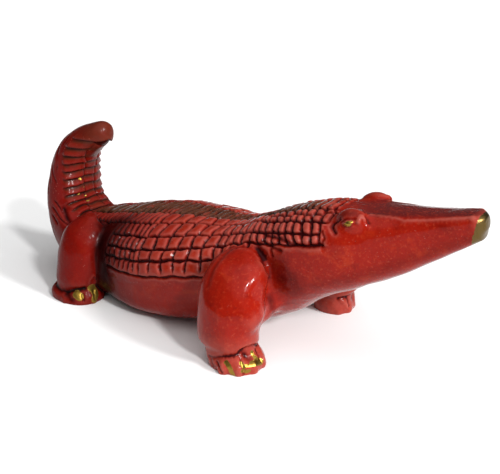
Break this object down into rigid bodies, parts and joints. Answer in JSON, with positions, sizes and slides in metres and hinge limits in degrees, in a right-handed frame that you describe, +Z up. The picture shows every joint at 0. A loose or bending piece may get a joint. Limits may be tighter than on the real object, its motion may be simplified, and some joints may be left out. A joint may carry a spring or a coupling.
{
  "type": "crocodile sculpture",
  "caption": "Small red-glazed ceramic crocodile standing on its feet, head raised, tail curled up, back carved in scale plates, snout tip and toes gilded; a shelf ornament.",
  "frame": {"origin": "middle of the bounding box at ground level, on the plane of the soles", "axes": "+X towards the head along the body, +Y to the figure's left, +Z up"},
  "size_m": [0.1969, 0.0829, 0.0662],
  "materials": {
    "red_glaze": "glossy red glaze pooling dark in the carving, with gold lustre on snout tip, eyes and toes"
  },
  "bodies": {
    "root": {"crocodile": "red_glaze"}
  },
  "joints": []
}
